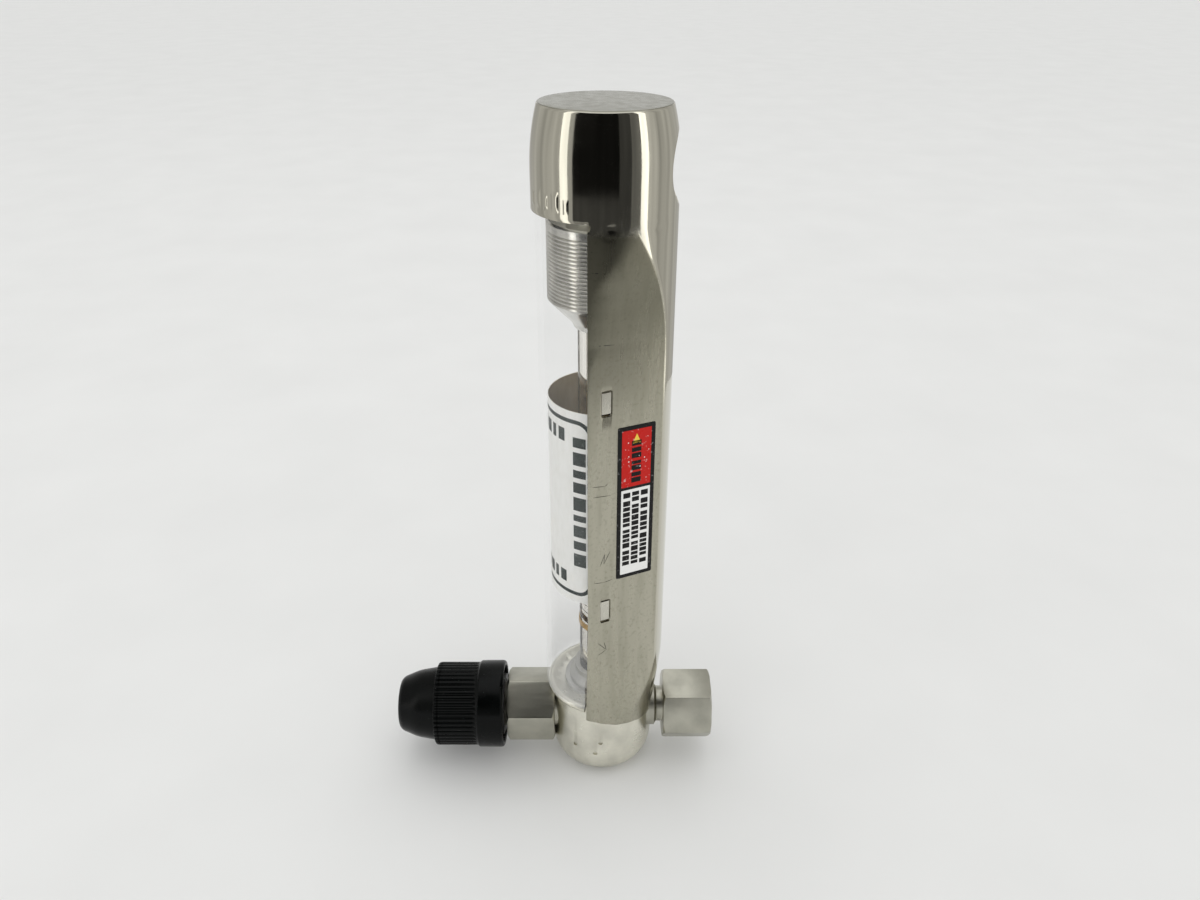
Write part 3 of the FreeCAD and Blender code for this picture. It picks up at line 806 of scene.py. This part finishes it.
knob = {
    "axisHeight": 14.0,
    "rim": -25.1,
    "skirtEnd": -31.4,
    "gripEnd": -42.6,
    "rimRadius": 11.0,
    "gripRadius": 10.5,
    "ribs": 48,
    "ribDepth": 0.34,
    "noseTip": -52.1,
    "noseRadius": 9.35,
    "noseTipRadius": 6.1,
    "bore": 3.4,
    "hollowRadius": 9.85,
    "hollowEnd": -32.8,
    "screwPlace": -38.0,
    "screwRadius": 1.3,
}


def ribbed(radius, place, turn):
    # round backed ribs that fade out at both ends of the grip
    inGrip = smooth((knob["skirtEnd"] - 0.5 - place) / 0.5)
    inGrip *= smooth((place - knob["gripEnd"]) / 0.6)
    if radius < knob["gripRadius"] - 1.2:
        return radius
    wave = abs(math.sin(turn * knob["ribs"] / 2)) ** 0.7
    return radius - knob["ribDepth"] * inGrip * (1 - wave)


def makeKnob():
    rim, skirtEnd, gripEnd = knob["rim"], knob["skirtEnd"], knob["gripEnd"]
    outer, grip = knob["rimRadius"], knob["gripRadius"]
    bore, hollow, floor = knob["bore"], knob["hollowRadius"], knob["hollowEnd"]
    corners = [(bore, gripEnd), (grip - 0.1, gripEnd), (grip, gripEnd + 0.9),
               (grip, skirtEnd - 0.4), (outer - 0.05, skirtEnd), (outer, rim - 0.6),
               (outer - 0.35, rim), (hollow, rim), (hollow - 0.05, floor), (bore, floor),
               (bore, gripEnd)]
    profile = roundedCorners(corners, 0.4)
    shaft = [(grip, skirtEnd - 0.4 - step * 0.9) for step in range(1, 12)]
    at = next(i for i, point in enumerate(profile) if point[1] > gripEnd + 1.4)
    profile[at:at] = shaft[::-1]
    mesh = turnedMesh("knobGrip", profile, 768, "y", knob["axisHeight"], ribbed)
    piece = addPiece("knob_grip", mesh, "knob_body", finishes["plastic"])
    centre = Vector((0, knob["screwPlace"], knob["axisHeight"]))
    cutWith(piece, rodMesh(knob["screwRadius"], centre - Vector((0, 0, 12)),
                           centre - Vector((0, 0, 2.5)), 32))
    settle(piece, 50)
    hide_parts("control_knob")

    tip, tipRadius = knob["noseTip"], knob["noseTipRadius"]
    nose = roundedCorners([(0, tip), (tipRadius, tip), (6.9, tip + 0.8), (8.45, tip + 4.5),
                           (knob["noseRadius"], gripEnd + 0.4), (knob["noseRadius"] - 0.1, gripEnd),
                           (0, gripEnd)], 1.4, 8)
    mesh = turnedMesh("knobNose", nose, 144, "y", knob["axisHeight"])
    piece = addPiece("knob_nose", mesh, "knob_body", finishes["plastic"])
    settle(piece, 50)
    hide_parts("knob_cap")


makeKnob()
print("knob made")


# card rolled up behind the shield, with plain printed bars

card = {
    "radius": 12.25,
    "thickness": 0.16,
    "low": 54.6,
    "high": 103.4,
    "reach": 82.0,
    "inkLift": 0.02,
    "line": 0.95,
    "lineReach": 76.5,
    "lineInset": 2.3,
    "lineBend": 3.2,
    # bars up each side, then bars along the low and the high edge; widths are in degrees
    "sideBars": (3.4, 2.2, 3.0, 1.6, 3.4, 2.6, 1.9, 3.2, 2.4),
    "sideStart": 64.6,
    "sideCentre": 64.5,
    "sideHalf": 7.2,
    "sideGap": 1.15,
    "edgeBars": (9, 6, 11, 5, 8, 10, 6, 9),
    "edgeHeights": (59.2, 95.8),
    "edgeStart": -48.0,
    "edgeTall": 3.1,
    "edgeGap": 4.4,
}


def cardPoint(radius, across, height):
    # across is in degrees from the front, positive towards +X
    lean = 0.035 * math.sin(math.radians(across * 2.2 + 40)) * (height - card["low"]) / 50
    return polar(radius + lean, across - 90, height)


def cardPatch(points, faces, left, right, low, high, radius):
    steps = max(1, round((right - left) / 3))
    rows = max(1, round((high - low) / 4))
    first = len(points)
    for row in range(rows + 1):
        for step in range(steps + 1):
            points.append(cardPoint(radius, left + (right - left) * step / steps,
                                    low + (high - low) * row / rows))
    for row in range(rows):
        for step in range(steps):
            corner = first + row * (steps + 1) + step
            faces.append((corner, corner + 1, corner + steps + 2, corner + steps + 1))


def cardStroke(points, faces, route, width, radius):
    # a line of even width along a route of (degrees, height) points
    perDegree = math.pi * radius / 180
    first = len(points)
    for i, (across, height) in enumerate(route):
        before = Vector(route[max(i - 1, 0)])
        after = Vector(route[min(i + 1, len(route) - 1)])
        way = Vector(((after.x - before.x) * perDegree, after.y - before.y)).normalized()
        side = Vector((-way.y / perDegree, way.x)) * width / 2
        for sign in (1, -1):
            points.append(cardPoint(radius, across + side.x * sign, height + side.y * sign))
    for i in range(len(route) - 1):
        corner = first + i * 2
        faces.append((corner, corner + 1, corner + 3, corner + 2))


def borderRoute(reach, low, high, bend):
    perDegree = math.pi * card["radius"] / 180
    bendDegrees = bend / perDegree
    centres = [(reach - bendDegrees, low + bend, -90), (reach - bendDegrees, high - bend, 0),
               (-reach + bendDegrees, high - bend, 90), (-reach + bendDegrees, low + bend, 180)]
    route = []
    for across, height, start in centres:
        for step in range(7):
            turn = math.radians(start + 15 * step)
            route.append((across + bendDegrees * math.cos(turn), height + bend * math.sin(turn)))
    corners = route + route[:1]
    fine = []
    for (fromAcross, fromHeight), (toAcross, toHeight) in zip(corners, corners[1:]):
        steps = max(1, round(abs(toAcross - fromAcross) / 4))
        fine += [(fromAcross + (toAcross - fromAcross) * step / steps,
                  fromHeight + (toHeight - fromHeight) * step / steps) for step in range(steps)]
    return fine + corners[-1:]


def makeCard():
    points, faces = [], []
    reach = card["reach"]
    cardPatch(points, faces, -reach, reach, card["low"], card["high"], card["radius"])
    mesh = meshFrom("card", points, faces)
    piece = addPiece("rolled_card", mesh, "frame", finishes["card"])
    sheet = piece.modifiers.new("sheet", "SOLIDIFY")
    sheet.thickness = card["thickness"] * mm
    sheet.offset = -1
    settle(piece)
    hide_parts("paper_tag")

    points, faces = [], []
    inkRadius = card["radius"] + card["inkLift"]
    inset = card["lineInset"]
    border = borderRoute(card["lineReach"], card["low"] + inset, card["high"] - inset,
                         card["lineBend"])
    cardStroke(points, faces, border, card["line"], inkRadius)
    for side in (1, -1):
        height = card["sideStart"]
        for length in card["sideBars"]:
            centre, half = card["sideCentre"] * side, card["sideHalf"]
            cardPatch(points, faces, centre - half, centre + half, height, height + length,
                      inkRadius)
            height += length + card["sideGap"]
    for low in card["edgeHeights"]:
        across = card["edgeStart"]
        for width in card["edgeBars"]:
            cardPatch(points, faces, across, across + width, low, low + card["edgeTall"],
                      inkRadius)
            across += width + card["edgeGap"]
    mesh = meshFrom("cardInk", points, faces)
    piece = addPiece("card_print", mesh, "frame", finishes["tagInk"])
    settle(piece)


makeCard()
print("card made")


# film label on the +X side panel

label = {
    "along": (-2.1, 6.8),
    "low": 61.6,
    "high": 100.1,
    "split": 85.0,
    "edge": 0.95,
    "thickness": 0.1,
}


def onPanel(outward, along, height):
    turn = math.radians(housing["panelAngle"])
    distance = 11.75 + outward
    return Vector((distance * math.cos(turn) - along * math.sin(turn),
                   distance * math.sin(turn) + along * math.cos(turn), height)) * mm


def panelShape(points, faces, outline, low, high):
    # a flat plate on the panel, from low to high above it
    count = len(outline)
    first = len(points)
    for outward in (low, high):
        points.extend(onPanel(outward, along, height) for along, height in outline)
    faces.append(tuple(first + count + i for i in range(count)))
    faces.append(tuple(first + count - 1 - i for i in range(count)))
    for i in range(count):
        following = (i + 1) % count
        faces.append((first + i, first + following, first + count + following, first + count + i))


def roundedBox(left, right, low, high, bend):
    outline = []
    for across, height, start in ((right - bend, low + bend, -90), (right - bend, high - bend, 0),
                                  (left + bend, high - bend, 90), (left + bend, low + bend, 180)):
        for step in range(5):
            turn = math.radians(start + 22.5 * step)
            outline.append((across + bend * math.cos(turn), height + bend * math.sin(turn)))
    return outline


def labelPiece(name, outlines, low, high, material):
    points, faces = [], []
    for outline in outlines:
        panelShape(points, faces, outline, low, high)
    mesh = meshFrom(name, points, faces)
    faceOutward(mesh)
    return addPiece(name, mesh, "frame", material)


def makeLabel():
    left, right = label["along"]
    low, high, edge, split = label["low"], label["high"], label["edge"], label["split"]
    thick = label["thickness"]
    backing = labelPiece("label_backing", [roundedBox(left, right, low, high, 0.35)],
                         0.0, thick, finishes["black"])
    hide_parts("rating_label")
    labelPiece("label_red_field",
               [roundedBox(left + edge, right - edge, split + 0.35, high - edge, 0.12)],
               thick - 0.02, thick + 0.015, finishes["red"])
    labelPiece("label_white_field",
               [roundedBox(left + edge, right - edge, low + edge, split - 0.35, 0.12)],
               thick - 0.02, thick + 0.015, finishes["white"])
    top = high - edge - 1.0
    middle = (left + right) / 2
    labelPiece("label_triangle", [[(middle - 1.0, top - 2.3), (middle + 1.0, top - 2.3),
                                   (middle, top)]], thick, thick + 0.03, finishes["yellow"])
    bars = [roundedBox(middle - 1.15, middle + 1.15, split + 1.3 + step * 1.5,
                       split + 1.3 + step * 1.5 + length, 0.12)
            for step, length in enumerate((1.2, 1.0, 1.25, 0.8, 1.2, 1.05, 1.2))]
    draw = random.Random(11)
    for row, across in enumerate((right - edge - 1.35, middle, left + edge + 1.35)):
        height = split - 1.1
        while height > low + edge + 1.4 + row * 0.9:
            length = draw.choice((0.85, 1.0, 1.15, 1.3))
            bars.append(roundedBox(across - 0.86, across + 0.86, height - length, height, 0.1))
            height -= length + draw.choice((0.26, 0.3, 0.3, 0.8))
    labelPiece("label_bars", bars, thick, thick + 0.03, finishes["black"])
    flecks = []
    for spot in range(13):
        across = draw.uniform(left + edge + 0.3, right - edge - 0.3)
        height = draw.uniform(split + 4, high - edge - 0.4)
        size = draw.uniform(0.05, 0.12)
        flecks.append(roundedBox(across - size, across + size, height - size, height + size * 1.3,
                                 size * 0.6))
    labelPiece("label_flecks", flecks, thick, thick + 0.032, finishes["white"])


makeLabel()
print("label made")


# scratched marks on the +X panel, as thin dark lines laid on the steel

scratches = {
    "zigzag": [(-6.1, 66.2), (-5.0, 69.2), (-5.2, 66.6), (-3.6, 69.8)],
    "hook": [(-6.6, 44.6), (-4.4, 42.0), (-5.0, 44.4), (-4.4, 42.0), (-6.4, 41.0)],
    "line": [(-7.6, 62.0), (-5.2, 61.6), (-3.0, 61.9)],
    "upper": [(-8.0, 87.2), (-5.0, 86.8), (-4.4, 87.3)],
    "middle": [(-7.8, 84.6), (-3.6, 84.2)],
    "high": [(-7.8, 119.6), (-3.2, 119.2)],
    "higher": [(-8.0, 134.8), (-4.2, 134.6)],
}


def makeScratches():
    points, faces = [], []
    for route in scratches.values():
        for (fromAlong, fromHeight), (toAlong, toHeight) in zip(route, route[1:]):
            way = Vector((toAlong - fromAlong, toHeight - fromHeight)).normalized()
            side = Vector((-way.y, way.x)) * 0.07
            first = len(points)
            for share, width in ((0, 0.3), (0.3, 1.0), (0.7, 0.9), (1, 0.3)):
                along = fromAlong + (toAlong - fromAlong) * share
                height = fromHeight + (toHeight - fromHeight) * share
                for sign in (1, -1):
                    aside = side * sign * width
                    place = onPanel(0, along + aside.x, height + aside.y)
                    angle = math.degrees(math.atan2(place.y, place.x))
                    radius = housingRadius(angle, place.z / mm) + 0.008
                    points.append(polar(radius, angle, place.z / mm))
            for step in range(3):
                corner = first + step * 2
                faces.append((corner, corner + 1, corner + 3, corner + 2))
    mesh = meshFrom("scratches", points, faces)
    addPiece("panel_scratches", mesh, "frame", finishes["dark"])


makeScratches()
print("scratches made")


# graduation marks on the front of the glass tube

scale = {"low": 44.0, "step": 2.0, "count": 30, "radius": 5.63, "line": 0.22}


def makeScale():
    points, faces = [], []
    for mark in range(scale["count"] + 1):
        reach = 26 if mark % 5 == 0 else 15
        height = scale["low"] + mark * scale["step"]
        first = len(points)
        for step in range(7):
            across = -90 - reach + 2 * reach * step / 6
            points.append(polar(scale["radius"], across, height - scale["line"] / 2))
            points.append(polar(scale["radius"], across, height + scale["line"] / 2))
        for step in range(6):
            corner = first + step * 2
            faces.append((corner, corner + 2, corner + 3, corner + 1))
    mesh = meshFrom("scaleMarks", points, faces)
    addPiece("tube_scale", mesh, "frame", finishes["black"])


makeScale()


# amber band low on the outside of the glass tube

tubeBand = {"inside": 5.45, "outside": 5.8, "low": 41.0, "high": 42.8, "slope": 0.15}


def makeTubeBand():
    inside, outside, low, high, slope = tubeBand.values()
    profile = roundedCorners([(inside, low), (outside, low + slope), (outside, high - slope),
                              (inside, high), (inside, low)], slope)
    piece = addPiece("tube_band", turnedMesh("tubeBand", profile, 96), "frame",
                     finishes["amber"])
    settle(piece)


makeTubeBand()
print("tube details made")


# nodes whose solid already has the right shape only get their finish

nodeFinishes = {
    "tube_seat": "seat",
    "clamp_plug": "aluminium",
    "lower_gasket": "rubber",
    "upper_gasket": "rubber",
    "neck_o_ring": "rubber",
    "lower_float_stop": "ptfe",
    "upper_float_stop": "ptfe",
    "stem_packing": "ptfe",
    "metering_tube": "tube",
    "float": "ground",
    "valve_orifice": "hex",
    "needle_tip": "ground",
    "valve_stem": "ground",
    "set_screw": "ground",
    "knob_bush": "brass",
    "outlet_block": "base",
    "scale_plate": "plate",
    "clear_shield": "shield",
}
for nodeName, finishName in nodeFinishes.items():
    mesh = frame["nodes"][nodeName].data
    for index in range(max(1, len(mesh.materials))):
        if index < len(mesh.materials):
            mesh.materials[index] = finishes[finishName]
        else:
            mesh.materials.append(finishes[finishName])
print("nodes finished:", len(nodeFinishes))


# floor, light and camera

studio = {
    "floorSize": 9.0,
    "world": 0.955,
    # place, aim, size (all in metres) and power
    "topLight": ((-0.25, -0.1, 0.95), (0, 0, 0.05), (0.9, 0.9), 0.7),
    "fillLight": ((0.6, -0.5, 0.6), (0, 0, 0.08), (0.7, 0.7), 0.5),
    "reflectorRadius": 160.0,
    # first azimuth, last azimuth, lowest, highest, glow
    "reflectors": [(-48, 20, 114, 330, 0.008), (20, 38, 96, 330, 0.05), (38, 53, 96, 330, 0.17),
                   (-48, 20, 92, 114, 0.06), (-48, 53, 40, 92, 0.26), (-56, -48, 40, 330, 0.4),
                   (-69, -56, 40, 330, 1.7), (53, 65, 40, 330, 1.8), (65, 84, 40, 330, 0.6),
                   (-156, -69, 40, 330, 0.5), (84, 156, 40, 330, 0.5), (156, 204, 40, 165, 0.5)],
}


def curvedReflector(name, first, last, low, high, glow):
    # an upright reflector round the object, from one azimuth to another; it only shows in gloss
    steps = 12
    points, faces = [], []
    for step in range(steps + 1):
        for height in (low, high):
            points.append(polar(studio["reflectorRadius"], first + (last - first) * step / steps,
                                height))
    for step in range(steps):
        corner = step * 2
        faces.append((corner, corner + 2, corner + 3, corner + 1))
    mesh = meshFrom(name, points, faces)
    finish = Finish(name, (0, 0, 0), 0.0, 1.0)
    finish.skin.inputs["Specular IOR Level"].default_value = 0.0
    finish.skin.inputs["Emission Color"].default_value = (1, 0.99, 0.95, 1)
    streaks = finish.noise(25, 2, (1, 1, 0.15))
    finish.paint("Emission Strength", finish.ramp(streaks, 0.3, 0.7, glow * 0.75, glow * 1.25))
    mesh.materials.append(finish.material)
    item = bpy.data.objects.new(name, mesh)
    bpy.context.scene.collection.objects.link(item)
    for ray in ("camera", "diffuse", "shadow", "transmission"):
        setattr(item, "visible_" + ray, False)


def areaLight(name, place, aim, size, power):
    lamp = bpy.data.lights.new(name, "AREA")
    lamp.shape = "RECTANGLE"
    lamp.size, lamp.size_y = size
    lamp.energy = power
    item = bpy.data.objects.new(name, lamp)
    item.location = place
    item.rotation_euler = (Vector(aim) - Vector(place)).to_track_quat("-Z", "Y").to_euler()
    item.visible_camera = False
    bpy.context.scene.collection.objects.link(item)


def makeStudio():
    half = studio["floorSize"] / 2
    corners = [Vector((x * half, y * half, 0)) for x, y in ((-1, -1), (1, -1), (1, 1), (-1, 1))]
    mesh = meshFrom("floor", corners, [(0, 1, 2, 3)])
    paper = Finish("floorPaper", (0.80, 0.80, 0.79), 0.0, 0.85)
    paper.paint("Base Color", paper.blend(paper.ramp(paper.noise(22, 3), 0.3, 0.7),
                                          (0.81, 0.81, 0.80), (0.785, 0.785, 0.775)))
    mesh.materials.append(paper.material)
    floor = bpy.data.objects.new("floor", mesh)
    bpy.context.scene.collection.objects.link(floor)
    for number, facts in enumerate(studio["reflectors"]):
        curvedReflector(f"reflector_{number}", *facts)
    areaLight("topSoftbox", *studio["topLight"])
    areaLight("fillSoftbox", *studio["fillLight"])
    world = bpy.data.worlds.new("studioAir")
    world.use_nodes = True
    air = world.node_tree.nodes["Background"]
    air.inputs["Color"].default_value = (0.955, 0.96, 0.955, 1)
    air.inputs["Strength"].default_value = studio["world"]
    bpy.context.scene.world = world
    bpy.context.scene.view_settings.view_transform = "Standard"


view = {
    "place": (195.224, -1.932, 192.702),
    "down": 28.0042,
    "aside": 0.3457,
    "roll": -0.237,
    "lens": 29.397,
}


def makeCamera():
    down, aside, roll = (math.radians(view[key]) for key in ("down", "aside", "roll"))
    ahead = Vector((-math.cos(down) * math.cos(aside), math.cos(down) * math.sin(aside),
                    -math.sin(down)))
    right = ahead.cross(Vector((0, 0, 1))).normalized()
    below = ahead.cross(right)
    across = right * math.cos(roll) + below * math.sin(roll)
    under = below * math.cos(roll) - right * math.sin(roll)
    lens = bpy.data.cameras.new("camera")
    lens.lens = view["lens"]
    lens.sensor_width = 36.0
    lens.clip_start = 0.01
    camera = bpy.data.objects.new("camera", lens)
    turn = Matrix((across, -under, -ahead)).transposed().to_4x4()
    camera.matrix_world = Matrix.Translation(Vector(view["place"]) * mm) @ turn
    bpy.context.scene.collection.objects.link(camera)
    bpy.context.scene.camera = camera


makeStudio()
makeCamera()
print("studio and camera made")

bpy.context.view_layer.update()
